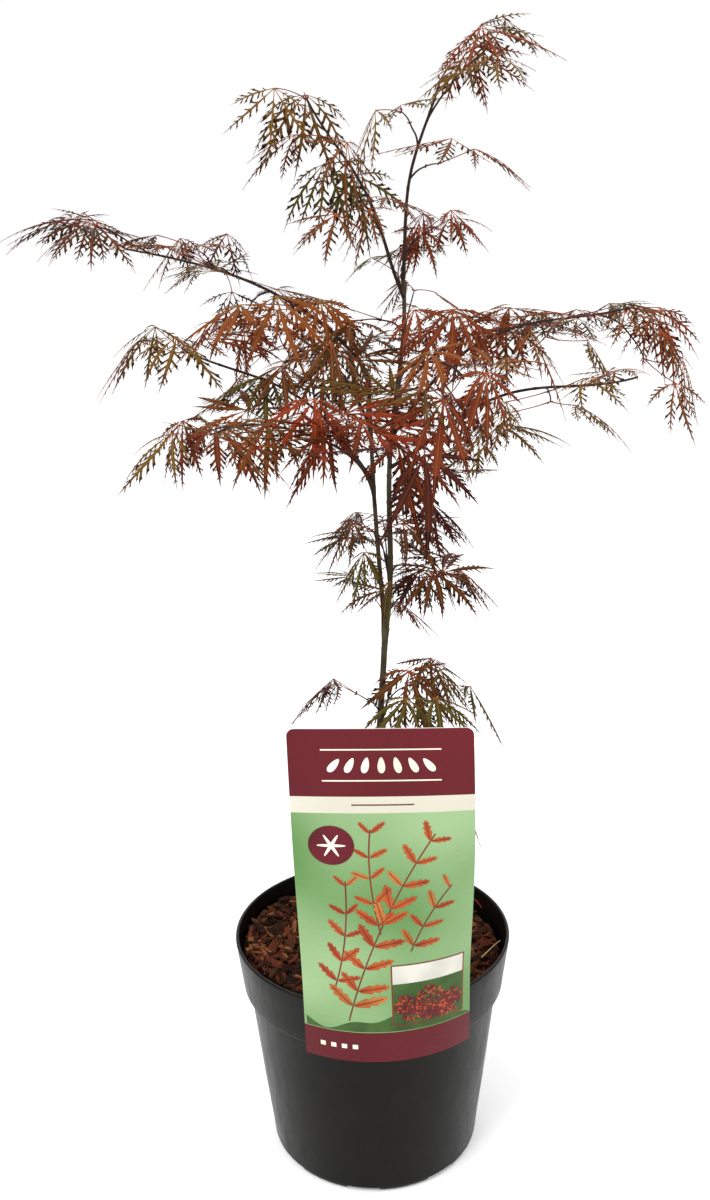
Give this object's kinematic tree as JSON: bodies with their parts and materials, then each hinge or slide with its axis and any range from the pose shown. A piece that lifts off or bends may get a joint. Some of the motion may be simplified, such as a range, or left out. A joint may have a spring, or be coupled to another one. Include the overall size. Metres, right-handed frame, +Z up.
{
  "type": "potted garnet japanese maple",
  "caption": "Young weeping laceleaf maple with finely cut red, orange and bronze leaves on slender arching boughs, standing in a round black nursery pot with bark mulch and a plain hanging tag.",
  "frame": {"origin": "centre of the pot's flat underside, which stands on the surface", "axes": "+Z up along the trunk, +X to the right, +Y to the back, away from the hanging tag"},
  "size_m": [0.4318, 0.3139, 0.7392],
  "materials": {
    "pot_plastic": "satin black moulded plastic, slightly scuffed",
    "bark_mulch": "rough red-brown bark chips over moist potting mix",
    "tag_plastic": "thin printed plastic card, satin, in dark red, cream and green bands",
    "bark": "thin grey-green to brown young bark with pale streaks",
    "twig_bark": "smooth dark red-brown young wood",
    "foliage_red": "thin satin leaves, brick red",
    "foliage_orange": "thin satin leaves, orange red",
    "foliage_maroon": "thin satin leaves, dark maroon",
    "foliage_bronze": "thin satin leaves, bronze to olive"
  },
  "bodies": {
    "root": {"back_centre": "foliage_maroon", "back_high": "foliage_bronze", "back_left": "foliage_red", "back_low": "foliage_red", "back_right": "foliage_orange", "bough_back": "twig_bark", "bough_back_left": "twig_bark", "bough_back_right": "twig_bark", "bough_front": "twig_bark", "bough_left_front": "twig_bark", "bough_left_front_2": "twig_bark", "bough_left_mid": "twig_bark", "bough_left_mid_2": "twig_bark", "bough_left_upper": "twig_bark", "bough_left_upper_2": "twig_bark", "bough_right_mid": "twig_bark", "bough_right_mid_2": "twig_bark", "bough_right_mid_3": "twig_bark", "bough_right_upper": "twig_bark", "centre_high": "foliage_maroon", "crown_left_high": "foliage_orange", "crown_left_shoulder": "foliage_maroon", "crown_right_high": "foliage_maroon", "crown_right_shoulder": "foliage_bronze", "crown_top_left": "foliage_red", "crown_top_right": "foliage_red", "crown_top_small": "foliage_orange", "far_left_inner": "foliage_red", "far_left_tip": "foliage_bronze", "foot_behind": "foliage_bronze", "foot_left": "foliage_maroon", "foot_right": "foliage_orange", "front_centre": "foliage_bronze", "hanging_tag": "tag_plastic", "leader_left": "bark", "leader_right": "bark", "left_arch": "foliage_orange", "left_heart": "foliage_bronze", "left_low_front": "foliage_orange", "left_low_tip": "foliage_red", "left_outer": "foliage_maroon", "low_left": "foliage_red", "low_right": "foliage_bronze", "low_shoot": "twig_bark", "low_shoot_back": "twig_bark", "pot": "pot_plastic", "right_inner": "foliage_red", "right_low": "foliage_red", "right_low_outer": "foliage_bronze", "right_outer": "foliage_orange", "right_tip": "foliage_maroon", "root_ball": "bark_mulch", "stem_left": "bark", "stem_main": "bark", "trunk": "bark", "under_left": "foliage_maroon", "under_right": "foliage_orange"}
  },
  "joints": []
}
